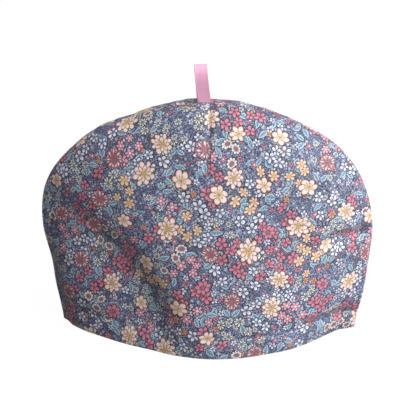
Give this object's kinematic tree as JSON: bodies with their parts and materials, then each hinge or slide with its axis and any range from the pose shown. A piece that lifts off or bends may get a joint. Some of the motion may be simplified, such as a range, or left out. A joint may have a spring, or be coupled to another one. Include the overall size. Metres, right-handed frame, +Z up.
{
  "type": "tea cosy",
  "caption": "Padded half-dome cloth cover for a teapot, open along its hem, with an arched seam and a ribbon hanging loop at the top; small floral print.",
  "frame": {"origin": "centre of the bounding box, on the surface that the hem stands on", "axes": "+Z up, +X to the right as seen from the front, -Y towards the viewer of the front panel; the seam lies in the plane y = 0"},
  "size_m": [0.3309, 0.1508, 0.2805],
  "materials": {
    "printed_cotton": "printed plain-weave cotton over padding, matt, with a small floral on slate grey-blue",
    "ribbon_satin": "pink satin ribbon with a soft sheen"
  },
  "bodies": {
    "root": {"panel_front": "printed_cotton", "panel_back": "printed_cotton", "hanging_loop": "ribbon_satin"}
  },
  "joints": []
}
